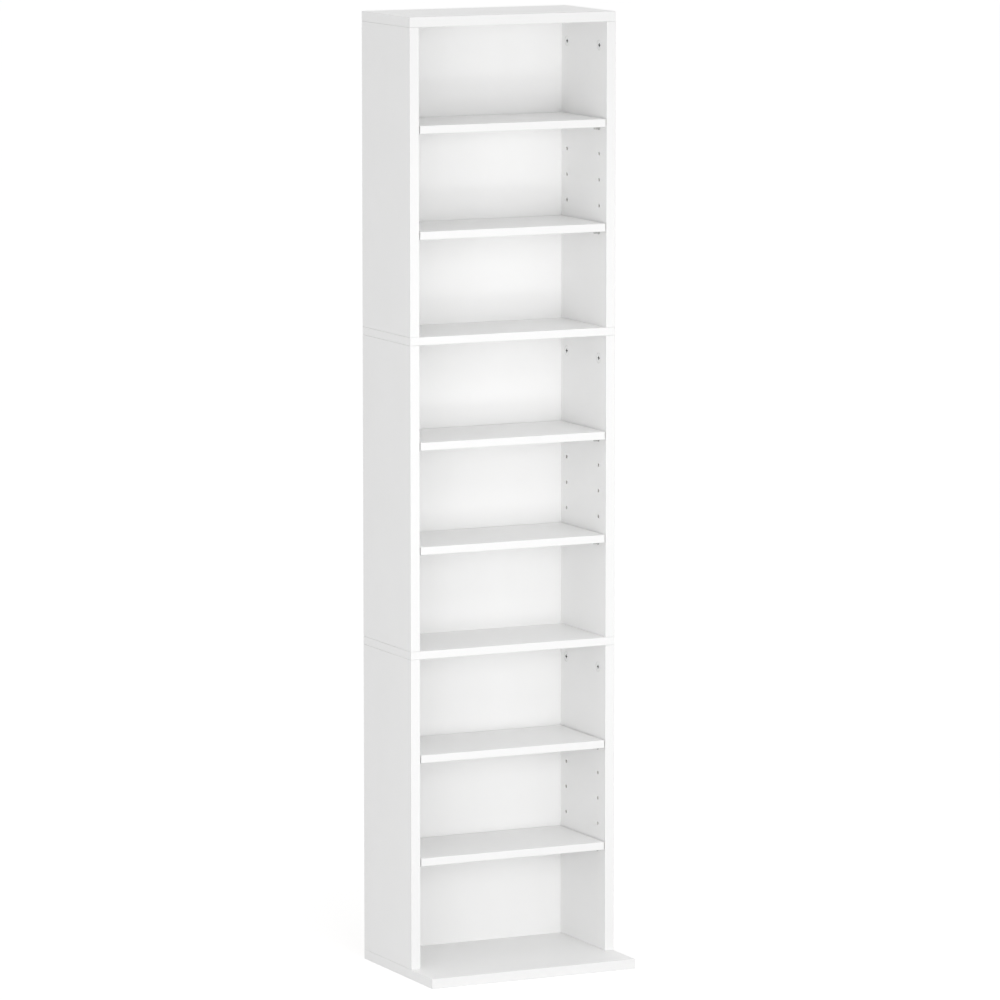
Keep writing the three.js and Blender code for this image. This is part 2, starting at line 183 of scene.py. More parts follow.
class Workpiece:
    """A mesh on the bench: a primitive that edit mode and modifiers shape into a piece."""

    def __init__(self, name: str, body: bpy.types.Object) -> None:
        """Takes up an object and names it and its mesh.

        Args:
            name: The name that both get.
            body: The object.
        """
        self.body = body
        body.name = body.data.name = name

    @classmethod
    def started(cls, name: str) -> Workpiece:
        """Takes up the primitive that was just added, with its place put into its mesh.

        Args:
            name: The piece's name.

        Returns:
            The new workpiece.
        """
        bpy.ops.object.transform_apply(location=True, rotation=True, scale=True)
        return cls(name, bpy.context.view_layer.objects.active)

    @classmethod
    def block(cls, name: str, low: Vector, high: Vector) -> Workpiece:
        """Starts a piece from a box.

        Args:
            name: The piece's name.
            low: The box's lowest corner.
            high: The box's highest corner.

        Returns:
            The new workpiece.
        """
        bpy.ops.object.select_all(action="DESELECT")
        bpy.ops.mesh.primitive_cube_add(size=1, location=(low + high) / 2, scale=high - low)
        return cls.started(name)

    @classmethod
    def drill(
        cls,
        along: Axis,
        centre: tuple[float, float],
        low: float,
        high: float,
        radius: float,
        sides: int = HOLE_SIDES,
    ) -> Workpiece:
        """Starts a cutter from a round bar, the path of a drill.

        Args:
            along: The axis that it lies along.
            centre: Its place on the other two axes.
            low: Where it begins on its axis.
            high: Where it ends on its axis.
            radius: Its radius.
            sides: How many sides it has.

        Returns:
            The new workpiece.
        """
        start, end = (
            Vector((reach, *centre) if along is Axis.X else (*centre, reach))
            for reach in (low, high)
        )
        span = end - start
        bpy.ops.object.select_all(action="DESELECT")
        bpy.ops.mesh.primitive_cylinder_add(
            vertices=sides,
            radius=radius,
            depth=span.length,
            location=(start + end) / 2,
            rotation=span.to_track_quat("Z", "Y").to_euler(),
        )
        return cls.started("drill")

    @classmethod
    def turned(cls, name: str, profile: Profile, sides: int = HOLE_SIDES) -> Workpiece:
        """Turns a piece about Z, ring by ring, by extruding and scaling its upper face.

        Args:
            name: The piece's name.
            profile: A radius over 0 and a height for each ring, from the lowest up.
            sides: How many sides the piece has.

        Returns:
            The new workpiece.
        """
        (radius, height), *rings = profile
        bpy.ops.object.select_all(action="DESELECT")
        bpy.ops.mesh.primitive_circle_add(
            vertices=sides, radius=radius, fill_type="NGON", location=(0, 0, height)
        )
        piece = cls.started(name)
        piece.open(Pick.FACES)
        for wide, high in rings:
            rise = {"value": (0, 0, high - height)}
            bpy.ops.mesh.extrude_region_move(TRANSFORM_OT_translate=rise)
            if wide != radius:
                factor = wide / radius
                bpy.ops.transform.resize(value=(factor, factor, 1), center_override=(0, 0, high))
            radius, height = wide, high
        piece.close(outward=True)
        return piece

    @classmethod
    def ring(cls, inner: float, outer: float, low: float, high: float, turn: float) -> Workpiece:
        """Spins a rectangle about Z into a ring, or a part of one that begins at +X.

        Args:
            inner: The ring's inner radius.
            outer: The ring's outer radius.
            low: The ring's lowest height.
            high: The ring's highest height.
            turn: The angle that it spans, in radians.

        Returns:
            The new workpiece.
        """
        bpy.ops.object.select_all(action="DESELECT")
        middle = ((inner + outer) / 2, 0, (low + high) / 2)
        bpy.ops.mesh.primitive_plane_add(size=1, location=middle, rotation=(math.pi / 2, 0, 0))
        bpy.context.view_layer.objects.active.scale = (outer - inner, high - low, 1)
        piece = cls.started("ring")
        piece.open(Pick.FACES)
        if math.isclose(turn, 2 * math.pi):
            bpy.ops.mesh.delete(type="ONLY_FACE")
            bpy.ops.mesh.select_all(action="SELECT")
        steps = round(turn / SPIN_STEP)
        bpy.ops.mesh.spin(steps=steps, angle=turn, center=(0, 0, 0), axis=(0, 0, 1))
        bpy.ops.mesh.select_all(action="SELECT")
        bpy.ops.mesh.remove_doubles(threshold=WELD)
        piece.close(outward=True)
        return piece

    def activate(self) -> None:
        """Makes this the only selected object, and the active one."""
        bpy.ops.object.select_all(action="DESELECT")
        self.body.select_set(True)
        bpy.context.view_layer.objects.active = self.body

    def open(self, pick: Pick, test: Test | None = None) -> None:
        """Goes into edit mode with all selected, or only what a test picks.

        Args:
            pick: Whether vertices, edges or faces are selected.
            test: Is given each of them, and says by its place or normal if it is selected.
        """
        self.activate()
        bpy.ops.object.mode_set(mode="EDIT")
        bpy.ops.mesh.select_mode(type=pick.value)
        bpy.ops.mesh.select_all(action="DESELECT" if test else "SELECT")
        if test:
            mesh = bmesh.from_edit_mesh(self.body.data)
            parts = {Pick.VERTICES: mesh.verts, Pick.EDGES: mesh.edges, Pick.FACES: mesh.faces}
            for part in [part for part in parts[pick] if test(part)]:
                part.select_set(True)
            mesh.select_flush_mode()
            bmesh.update_edit_mesh(self.body.data)

    def close(self, outward: bool = False) -> None:
        """Goes back to object mode.

        Args:
            outward: Whether all faces are first turned to point outwards.
        """
        if outward:
            bpy.ops.mesh.select_all(action="SELECT")
            bpy.ops.mesh.normals_make_consistent(inside=False)
        bpy.ops.object.mode_set(mode="OBJECT")

    def round_edges(self, radius: float, facets: int, test: Test) -> None:
        """Rounds the edges that a test picks.

        Args:
            radius: The rounding's radius.
            facets: How many facets it has.
            test: Is given an edge, and says whether it is rounded.
        """
        self.open(Pick.EDGES, test)
        bpy.ops.mesh.bevel(
            offset=radius, offset_type="OFFSET", segments=facets, profile=0.5, affect="EDGES"
        )
        self.close()

    def scale(self, pick: Pick, test: Test, factors: Triple, centre: Triple = (0, 0, 0)) -> None:
        """Scales what a test picks, about a point.

        Args:
            pick: Whether vertices, edges or faces are tested.
            test: Is given each of them, and says whether it is scaled.
            factors: The scale along X, Y and Z.
            centre: The point that stays in place.
        """
        self.open(pick, test)
        bpy.ops.transform.resize(value=factors, center_override=centre)
        self.close()

    def dress(self, *finishes: Finish) -> Workpiece:
        """Gives the piece its materials, the first one all over.

        Args:
            finishes: The finishes, in the order of the piece's material slots.

        Returns:
            This workpiece.
        """
        self.body.data.materials.clear()
        for finish in finishes:
            self.body.data.materials.append(finish.material())
        return self

    def paint(self, index: int, test: Test) -> None:
        """Gives the faces that a test picks another of the piece's materials.

        Args:
            index: The material slot's number.
            test: Is given a face, and says whether it is painted.
        """
        self.open(Pick.FACES, test)
        self.body.active_material_index = index
        bpy.ops.object.material_slot_assign()
        self.close()

    def modify(self, kind: str, **settings: object) -> None:
        """Puts a modifier on the piece and applies it.

        Args:
            kind: The modifier's type.
            settings: What it is set to.
        """
        self.activate()
        bpy.ops.object.modifier_add(type=kind)
        modifier = self.body.modifiers[-1]
        for name, value in settings.items():
            setattr(modifier, name, value)
        bpy.ops.object.modifier_apply(modifier=modifier.name)

    def cut(self, *cutters: Workpiece, index: int = 0) -> None:
        """Takes cutters that stay clear of each other out of the piece.

        Args:
            cutters: The cutters, which are used up.
            index: The slot of the piece's material that shows on the cut walls.
        """
        first, *others = cutters
        first.activate()
        for cutter in others:
            cutter.body.select_set(True)
        if others:
            bpy.ops.object.join()
        mesh = first.body.data
        for material in self.body.data.materials:
            mesh.materials.append(material)
        mesh.polygons.foreach_set("material_index", [index] * len(mesh.polygons))
        self.modify("BOOLEAN", operation="DIFFERENCE", solver="EXACT", object=first.body)
        first.discard()

    def copy(self, name: str, place: Matrix) -> Workpiece:
        """Makes a copy with a mesh of its own.

        Args:
            name: The copy's name.
            place: Where the copy goes, put into its mesh. It may mirror the piece.

        Returns:
            The copy.
        """
        body = self.body.copy()
        body.data = self.body.data.copy()
        body.data.transform(place)
        if place.determinant() < 0:
            body.data.flip_normals()
        bpy.context.scene.collection.objects.link(body)
        return Workpiece(name, body)

    def discard(self) -> None:
        """Takes the piece off the bench, once it has been cut with or copied."""
        mesh = self.body.data
        bpy.data.objects.remove(self.body)
        bpy.data.meshes.remove(mesh)

    def hand_over(self, body: str, slot: Slot | None, *nodes: str) -> None:
        """Smooths the finished piece and ties it to the CAD parts.

        Args:
            body: The body that it rides on.
            slot: The material slot that it takes its finish from, if the record has one. It is not
                used.
            nodes: The CAD parts that it stands for.
        """
        self.activate()
        bpy.ops.object.shade_smooth_by_angle(angle=SMOOTH_BELOW)
        self.modify("WEIGHTED_NORMAL", keep_sharp=True)
        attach(self.body, body)
        if nodes:
            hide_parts(*nodes)
        LOG.info("%s: %d faces, on %s", self.body.name, len(self.body.data.polygons), body)


def board(
    name: str,
    low: Vector,
    high: Vector,
    run: Axis,
    edge: float = BOARD_EDGE,
    end: float = BOARD_END,
) -> Workpiece:
    """Makes a board with rounded long edges and a fine easing round each end.

    Args:
        name: The board's name.
        low: Its lowest corner.
        high: Its highest corner.
        run: The direction of its length.
        edge: The radius of the long edges.
        end: The radius of the edges round the ends.

    Returns:
        The board.
    """
    along = run.value
    ends = (low[along], high[along])

    def is_long(line: bmesh.types.BMEdge) -> bool:
        """Tells an edge that runs over more than half of the board's length."""
        start, stop = (vert.co[along] for vert in line.verts)
        return 2 * abs(start - stop) > ends[1] - ends[0]

    def is_end(line: bmesh.types.BMEdge) -> bool:
        """Tells an edge that lies in one of the board's two ends."""
        places = [vert.co[along] for vert in line.verts]
        return any(max(abs(place - z) for place in places) < SAME_PLACE for z in ends)

    piece = Workpiece.block(name, low, high)
    piece.round_edges(edge, EDGE_FACETS, is_long)
    piece.round_edges(end, END_FACETS, is_end)
    return piece


# Finishes


class NodeTree:
    """The nodes of a material or of the world."""

    def __init__(self, owner: bpy.types.Material | bpy.types.World) -> None:
        """Opens the owner's nodes.

        Args:
            owner: What the nodes belong to.
        """
        owner.use_nodes = True
        self.nodes = owner.node_tree.nodes
        self.links = owner.node_tree.links

    def feed(self, node: bpy.types.Node, inputs: Inputs) -> None:
        """Sets a node's inputs, or joins them to the outputs of others.

        Args:
            node: The node.
            inputs: The name or number of each input, with its value or what feeds it.
        """
        for key, value in inputs.items():
            socket = node.inputs[key]
            if isinstance(value, bpy.types.NodeSocket):
                self.links.new(value, socket)
            else:
                socket.default_value = (*value, 1) if socket.type == "RGBA" else value

    def add(self, kind: str, inputs: Inputs | None = None, **settings: str) -> bpy.types.Node:
        """Adds a node.

        Args:
            kind: The node's type, without the word that all types begin with.
            inputs: Its inputs, as they are given to feed.
            settings: What else it is set to.

        Returns:
            The node.
        """
        node = self.nodes.new(f"ShaderNode{kind}")
        for name, value in settings.items():
            setattr(node, name, value)
        self.feed(node, inputs or {})
        return node

    def reckon(self, operation: str, *values: float | Socket) -> Socket:
        """Adds a node that reckons with two or three values.

        Args:
            operation: What it does with them.
            values: Numbers or outputs.

        Returns:
            The result.
        """
        return self.add("Math", dict(enumerate(values)), operation=operation).outputs["Value"]

    def either(self, factor: Socket, first: Socket, second: Socket) -> Socket:
        """Mixes two shaders.

        Args:
            factor: 0 gives the first and 1 the second.
            first: A shader.
            second: A shader.

        Returns:
            The mixed shader.
        """
        return self.add("MixShader", {0: factor, 1: first, 2: second}).outputs["Shader"]

    def seen_directly(self) -> Socket:
        """Tells a ray of sight, mirrored or seen through glass, from light.

        Returns:
            A value that is 1 for a ray of sight.
        """
        rays = self.add("LightPath").outputs
        sight = self.reckon("MAXIMUM", rays["Is Camera Ray"], rays["Is Glossy Ray"])
        return self.reckon("MAXIMUM", sight, rays["Is Transmission Ray"])


class NodeSheet(NodeTree):
    """The nodes of one finish, read in object space."""

    def __init__(self, name: str) -> None:
        """Starts a material with its shader.

        Args:
            name: The material's name.
        """
        self.material = bpy.data.materials.new(name)
        super().__init__(self.material)
        self.place = self.add("TexCoord").outputs["Object"]

    def coat(self, inputs: Inputs) -> None:
        """Sets or feeds the inputs of the finish's shader.

        Args:
            inputs: The inputs, as they are given to feed.
        """
        self.feed(self.nodes["Principled BSDF"], inputs)

    def noise(self, size: float, detail: float = 2, stretch: Triple = (1, 1, 1)) -> Socket:
        """Adds a cloudy pattern.

        Args:
            size: The size of its patches, in metres.
            detail: How many finer layers it has.
            stretch: Factors along X, Y and Z, below 1 where the patches are long.

        Returns:
            The pattern's value, about 0.5 in the middle.
        """
        place = self.add("Mapping", {"Vector": self.place, "Scale": stretch}).outputs["Vector"]
        inputs = {"Vector": place, "Scale": 1 / size, "Detail": detail}
        return self.add("TexNoise", inputs).outputs["Fac"]

    def grains(self, size: float) -> Socket:
        """Adds a pattern of cells, each with a value of its own.

        Args:
            size: The size of a cell, in metres.

        Returns:
            The cells' value, from 0 to 1.
        """
        cells = self.add("TexVoronoi", {"Vector": self.place, "Scale": 1 / size})
        return self.add("SeparateColor", {"Color": cells.outputs["Color"]}).outputs["Red"]

    def waves(self, direction: str, pitch: float) -> Socket:
        """Adds even waves along one axis.

        Args:
            direction: X, Y or Z.
            pitch: The distance from wave to wave, in metres.

        Returns:
            The waves' value, from 0 to 1.
        """
        inputs = {"Vector": self.place, "Scale": 2 * math.pi / (WAVE_TURN * pitch)}
        return self.add("TexWave", inputs, bands_direction=direction).outputs["Fac"]

    def slice(self, y: float, half_width: float = 0) -> Socket:
        """Marks a thin slice of the piece at one depth, or all that lies before that depth.

        Args:
            y: The middle of the slice, or the depth.
            half_width: Half of the slice's thickness, or 0 for all that lies before it.

        Returns:
            A value that is 1 in the marked part and 0 out of it.
        """
        depth = self.add("SeparateXYZ", {"Vector": self.place}).outputs["Y"]
        if half_width:
            return self.reckon("COMPARE", depth, y, half_width)
        return self.reckon("LESS_THAN", depth, y)

    def ranged(self, value: Socket, low: float = 0, high: float = 1) -> Socket:
        """Spreads a pattern's middle part over a range.

        Args:
            value: The pattern.
            low: What its low values become.
            high: What its high values become.

        Returns:
            The spread value.
        """
        ends = dict(zip(("From Min", "From Max", "To Min", "To Max"), (*NOISE_MIDDLE, low, high)))
        inputs = {"Value": value, **ends}
        return self.add("MapRange", inputs).outputs["Result"]

    def blend(self, factor: Socket, first: Colour | Socket, second: Colour | Socket) -> Socket:
        """Mixes two colours.

        Args:
            factor: 0 gives the first and 1 the second.
            first: A colour or an output.
            second: A colour or an output.

        Returns:
            The mixed colour.
        """
        node = self.add("Mix", {"Factor": factor}, data_type="RGBA")
        places = [n for n, socket in enumerate(node.inputs) if socket.type == "RGBA"]
        self.feed(node, dict(zip(places, (first, second))))
        return next(socket for socket in node.outputs if socket.type == "RGBA")

    def sum(self, *values: tuple[Socket, float]) -> Socket:
        """Adds up patterns, each times a weight.

        Args:
            values: The patterns and their weights.

        Returns:
            The sum.
        """
        total = 0
        for value, weight in values:
            total = self.reckon("MULTIPLY_ADD", value, weight, total)
        return total

    def relief(self, height: Socket, depth: float, strength: float) -> None:
        """Gives the surface a fine relief.

        Args:
            height: The relief's pattern, from 0 to 1.
            depth: How far a value of 1 stands over 0, in metres.
            strength: How much of it shows.
        """
        inputs = {"Height": height, "Distance": depth, "Strength": strength}
        self.coat({"Normal": self.add("Bump", inputs).outputs["Normal"]})


@dataclass(frozen=True)
class Finish:
    """What a surface is made of: each kind draws its own node sheet."""

    name: str

    def draw(self, sheet: NodeSheet) -> None:
        """Draws the finish on an empty sheet.

        Args:
            sheet: The material's nodes.
        """
        raise NotImplementedError

    def material(self) -> bpy.types.Material:
        """Gives the finish's material, which is made when it is first asked for.

        Returns:
            The material.
        """
        made = bpy.data.materials.get(self.name)
        if made:
            return made
        sheet = NodeSheet(self.name)
        self.draw(sheet)
        return sheet.material


@dataclass(frozen=True)
class FoilFinish(Finish):
    """White foil on a board, with a strip of edging let in flush along its front edge; the strip is
    tinted darker as painted shade on the lit fronts.
    """

    colour: Colour = (0.905, 0.905, 0.903)
    shade: Colour = (0.893, 0.893, 0.890)
    # Painted shade: the edging is a real edge band, but this darker tone holds the lamp-lit fronts
    # down
    edge_colour: Colour = (0.802, 0.802, 0.800)
    seam: Colour = (0.74, 0.735, 0.73)
    front: float = TOWER_FRONT
    edging: float = 1.6 * MM
    seam_half_width: float = 0.12 * MM
    seam_sink: float = 1.5
    cloud: float = 90 * MM
    pebble: float = 1.4 * MM
    gloss_patch: float = 14 * MM
    roughness: tuple[float, float] = (0.40, 0.50)
    relief: tuple[float, float] = (0.02 * MM, 0.6)
    ior: float = 1.46

    def draw(self, sheet: NodeSheet) -> None:
        """Draws faint clouds, a pebbled press texture, the edging's seam and the edging's darker
        tone, which is painted shade.

        Args:
            sheet: The material's nodes.
        """
        edging_end = self.front + self.edging
        clouds = sheet.ranged(sheet.noise(self.cloud, detail=3))
        seam = sheet.slice(edging_end, self.seam_half_width)
        foil = sheet.blend(clouds, self.shade, self.colour)
        # All that lies before the edging's seam takes the darker edging colour, painted shade on
        # the lit fronts
        foil = sheet.blend(sheet.slice(edging_end), foil, self.edge_colour)
        gloss = sheet.ranged(sheet.noise(self.gloss_patch), *self.roughness)
        foil = sheet.blend(seam, foil, self.seam)
        sheet.coat({"Base Color": foil, "Roughness": gloss, "IOR": self.ior})
        pebbles = sheet.noise(self.pebble)
        sheet.relief(sheet.sum((pebbles, 1), (seam, -self.seam_sink)), *self.relief)


@dataclass(frozen=True)
class CoreFinish(Finish):
    """The pressed chips of a board, where a drill or a saw has opened it."""

    light: Colour = (0.78, 0.77, 0.75)
    dark: Colour = (0.61, 0.60, 0.58)
    chip: float = 1.1 * MM
    roughness: float = 0.85
    relief: tuple[float, float] = (0.15 * MM, 0.5)

    def draw(self, sheet: NodeSheet) -> None:
        """Draws chips of several shades.

        Args:
            sheet: The material's nodes.
        """
        chips = sheet.grains(self.chip)
        colour = sheet.blend(chips, self.dark, self.light)
        sheet.coat({"Base Color": colour, "Roughness": self.roughness})
        sheet.relief(chips, *self.relief)


@dataclass(frozen=True)
class PaintFinish(Finish):
    """White paint rolled on thin hardboard."""

    colour: Colour = (0.900, 0.900, 0.898)
    shade: Colour = (0.888, 0.888, 0.885)
    band: float = 60 * MM
    band_stretch: Triple = (1, 1, 0.12)
    gloss_patch: float = 5 * MM
    grain: float = 0.9 * MM
    roughness: tuple[float, float] = (0.48, 0.58)
    relief: tuple[float, float] = (0.03 * MM, 0.5)
    ior: float = 1.45

    def draw(self, sheet: NodeSheet) -> None:
        """Draws faint upright roller bands and a fine grain.

        Args:
            sheet: The material's nodes.
        """
        bands = sheet.ranged(sheet.noise(self.band, stretch=self.band_stretch))
        colour = sheet.blend(bands, self.shade, self.colour)
        gloss = sheet.ranged(sheet.noise(self.gloss_patch), *self.roughness)
        sheet.coat({"Base Color": colour, "Roughness": gloss, "IOR": self.ior})
        sheet.relief(sheet.noise(self.grain, detail=3), *self.relief)


@dataclass(frozen=True)
class HardboardFinish(Finish):
    """The bare rear of hardboard, with the print of the press's wire mesh."""

    light: Colour = (0.47, 0.33, 0.21)
    dark: Colour = (0.33, 0.215, 0.13)
    fibre: float = 2.5 * MM
    fleck: float = 8 * MM
    cloud: float = 140 * MM
    tone_weights: Triple = (0.45, 0.42, 0.13)
    mesh_pitch: float = 1.6 * MM
    print_weights: Triple = (0.5, 0.5, 0.3)
    roughness: float = 0.78
    relief: tuple[float, float] = (0.08 * MM, 0.6)

    def draw(self, sheet: NodeSheet) -> None:
        """Draws fibres, flecks of pressed pulp, faint clouds and the mesh's print.

        Args:
            sheet: The material's nodes.
        """
        fibres = sheet.noise(self.fibre, detail=5)
        layers = (fibres, sheet.noise(self.fleck, detail=4), sheet.noise(self.cloud))
        tone = sheet.ranged(sheet.sum(*zip(layers, self.tone_weights)))
        colour = sheet.blend(tone, self.dark, self.light)
        sheet.coat({"Base Color": colour, "Roughness": self.roughness})
        mesh = (sheet.waves("X", self.mesh_pitch), sheet.waves("Z", self.mesh_pitch), fibres)
        sheet.relief(sheet.sum(*zip(mesh, self.print_weights)), *self.relief)


@dataclass(frozen=True)
class MetalFinish(Finish):
    """Turned or cast metal."""

    light: Colour
    dark: Colour
    roughness: tuple[float, float]
    grain: float = 0.5 * MM
    gloss_patch: float = 1.5 * MM
    relief: tuple[float, float] = (0.01 * MM, 0.5)
    metallic: float = 1.0

    def draw(self, sheet: NodeSheet) -> None:
        """Draws a fine grain in the tone, the gloss and the relief.

        Args:
            sheet: The material's nodes.
        """
        grain = sheet.noise(self.grain, detail=4)
        colour = sheet.blend(sheet.ranged(grain), self.dark, self.light)
        gloss = sheet.ranged(sheet.noise(self.gloss_patch), *self.roughness)
        sheet.coat({"Base Color": colour, "Roughness": gloss, "Metallic": self.metallic})
        sheet.relief(grain, *self.relief)


@dataclass(frozen=True)
class BeechFinish(Finish):
    """Beech turned into dowels, its grain along Z."""

    light: Colour = (0.66, 0.47, 0.29)
    dark: Colour = (0.50, 0.33, 0.19)
    streak: float = 1.5 * MM
    streak_stretch: Triple = (1, 1, 0.06)
    roughness: float = 0.62
    relief: tuple[float, float] = (0.05 * MM, 0.4)

    def draw(self, sheet: NodeSheet) -> None:
        """Draws long streaks with short dark flecks.

        Args:
            sheet: The material's nodes.
        """
        streaks = sheet.noise(self.streak, detail=4, stretch=self.streak_stretch)
        colour = sheet.blend(sheet.ranged(streaks), self.dark, self.light)
        sheet.coat({"Base Color": colour, "Roughness": self.roughness})
        sheet.relief(streaks, *self.relief)


@dataclass(frozen=True)
class Finishes:
    """All the finishes that the tower's pieces take."""

    foil: FoilFinish = FoilFinish("white_foil")
    base_foil: FoilFinish = FoilFinish("white_foil_of_base", front=BASE_FRONT)
    core: CoreFinish = CoreFinish("bored_chipboard")
    paint: PaintFinish = PaintFinish("white_painted_hardboard")
    hardboard: HardboardFinish = HardboardFinish("bare_hardboard")
    nickel: MetalFinish = MetalFinish(
        "nickelled_pin_steel", (0.59, 0.59, 0.58), (0.49, 0.49, 0.48), (0.22, 0.34)
    )
    zinc: MetalFinish = MetalFinish(
        "cast_cam_zinc",
        (0.90, 0.90, 0.90),
        (0.84, 0.84, 0.84),
        (0.38, 0.52),
        grain=0.8 * MM,
        gloss_patch=2.4 * MM,
        relief=(0.02 * MM, 0.5),
        metallic=0.5,
    )
    # Painted shade: near-black colour on the walls of the cams' driver cross, standing in for the
    # shade in that recess
    recess: MetalFinish = MetalFinish(
        "dark_cam_recess", (0.06, 0.06, 0.06), (0.03, 0.03, 0.03), (0.5, 0.7), metallic=0.4
    )
    screw: MetalFinish = MetalFinish(
        "plated_screw_steel", (0.74, 0.71, 0.63), (0.62, 0.59, 0.52), (0.25, 0.38)
    )
    beech: BeechFinish = BeechFinish("beech_dowel")


# Boards that lie flat


@dataclass
class FlatBoard:
    """A board as wide as the tower, which lies on the side panels and is drilled for them."""

    name: str
    node: str
    finish: FoilFinish
    core: CoreFinish

    @staticmethod
    def groove(low: float, high: float) -> Workpiece:
        """Makes the cutter of the groove that takes an edge of a back panel.

        Args:
            low: The groove's lowest height.
            high: The groove's highest height.

        Returns:
            The cutter.
        """
        return Workpiece.block(
            "groove",
            Vector((-GROOVE_END, GROOVE_FRONT, low)),
            Vector((GROOVE_END, GROOVE_FRONT + GROOVE_WIDTH, high)),
        )

    @staticmethod
    def holes(low: float, bolt_end: float, dowel_end: float) -> list[Workpiece]:
        """Makes the cutters of the holes over the middles of both side panels.

        Args:
            low: Where the holes begin.
            bolt_end: Where the two bolts' holes on each side end.
            dowel_end: Where the dowel's hole between them ends.

        Returns:
            The cutters.
        """
        made = []
        for hand in Hand:
            x = hand.value * PANEL_MIDDLE
            for column in Column:
                centre = (x, column.value)
                made.append(Workpiece.drill(Axis.Z, centre, low, bolt_end, BOLT_HOLE))
            made.append(Workpiece.drill(Axis.Z, (x, DOWEL_Y), low, dowel_end, DOWEL_HOLE))
        return made

    def cutters(self, low: float, high: float) -> list[Workpiece]:
        """Makes the cutters of the board's holes and grooves.

        Args:
            low: The height of the board's lower face.
            high: The height of its upper face.

        Returns:
            The cutters.
        """
        raise NotImplementedError

    def build(self) -> None:
        """Builds the board in the place of its CAD part."""
        low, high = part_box(self.node)
        piece = board(self.name, low, high, Axis.X).dress(self.finish, self.core)
        piece.cut(*self.cutters(low.z, high.z), index=1)
        piece.hand_over(CARCASS, Slot.BOARD, self.node)


@dataclass
class TopBoard(FlatBoard):
    """The board that closes the tower: its holes and groove are all in its underside."""

    bolt_depth: float = 11.5 * MM
    dowel_depth: float = 10.5 * MM
    groove_depth: float = 5 * MM

    def cutters(self, low: float, high: float) -> list[Workpiece]:
        """Makes the cutters of blind holes from below, and of the groove.

        Args:
            low: The height of the board's lower face.
            high: The height of its upper face.

        Returns:
            The cutters.
        """
        holes = self.holes(low - OVERCUT, low + self.bolt_depth, low + self.dowel_depth)
        return [self.groove(low - OVERCUT, low + self.groove_depth), *holes]


@dataclass
class Divider(FlatBoard):
    """A thinner board between two bays, drilled through and grooved from both sides."""

    groove_depth: float = 3.5 * MM

    def cutters(self, low: float, high: float) -> list[Workpiece]:
        """Makes the cutters of through holes, and of a groove in each face.

        Args:
            low: The height of the board's lower face.
            high: The height of its upper face.

        Returns:
            The cutters.
        """
        below, above = low - OVERCUT, high + OVERCUT
        grooves = [
            self.groove(below, low + self.groove_depth),
            self.groove(high - self.groove_depth, above),
        ]
        return grooves + self.holes(below, above, above)


@dataclass
class BaseBoard(FlatBoard):
    """The board that the tower stands on, countersunk from below for its screws."""

    groove_depth: float = 5 * MM
    dowel_depth: float = 10 * MM
    head_radius: float = 4.75 * MM
    head_sunk: float = 0.25 * MM
    head_height: float = 3 * MM

    def cutters(self, low: float, high: float) -> list[Workpiece]:
        """Makes the cutters of the screws' holes, the dowels' blind holes and the groove.

        Args:
            low: The height of the board's lower face.
            high: The height of its upper face.

        Returns:
            The cutters.
        """
        above = high + OVERCUT
        made = [self.groove(high - self.groove_depth, above)]
        profile = [
            (self.head_radius, low - OVERCUT),
            (self.head_radius, low + self.head_sunk),
            (SCREW_HOLE, low + self.head_sunk + self.head_height),
            (SCREW_HOLE, above),
        ]
        countersink = Workpiece.turned("countersink", profile)
        for hand in Hand:
            x = hand.value * PANEL_MIDDLE
            for column in Column:
                place = Matrix.Translation((x, column.value, 0))
                made.append(countersink.copy("countersink", place))
            floor = high - self.dowel_depth
            made.append(Workpiece.drill(Axis.Z, (x, DOWEL_Y), floor, above, DOWEL_HOLE))
        countersink.discard()
        return made


# Upright boards


@dataclass(frozen=True)
class LowerEnd:
    """The holes in the lower end of a side panel, for what comes up from the board below."""

    radius: float
    depth: float
    dowel_depth: float


SCREWED_END = LowerEnd(SCREW_HOLE, 35.5 * MM, 10 * MM)
BOLTED_END = LowerEnd(BOLT_HOLE, 20.25 * MM, 14.5 * MM)


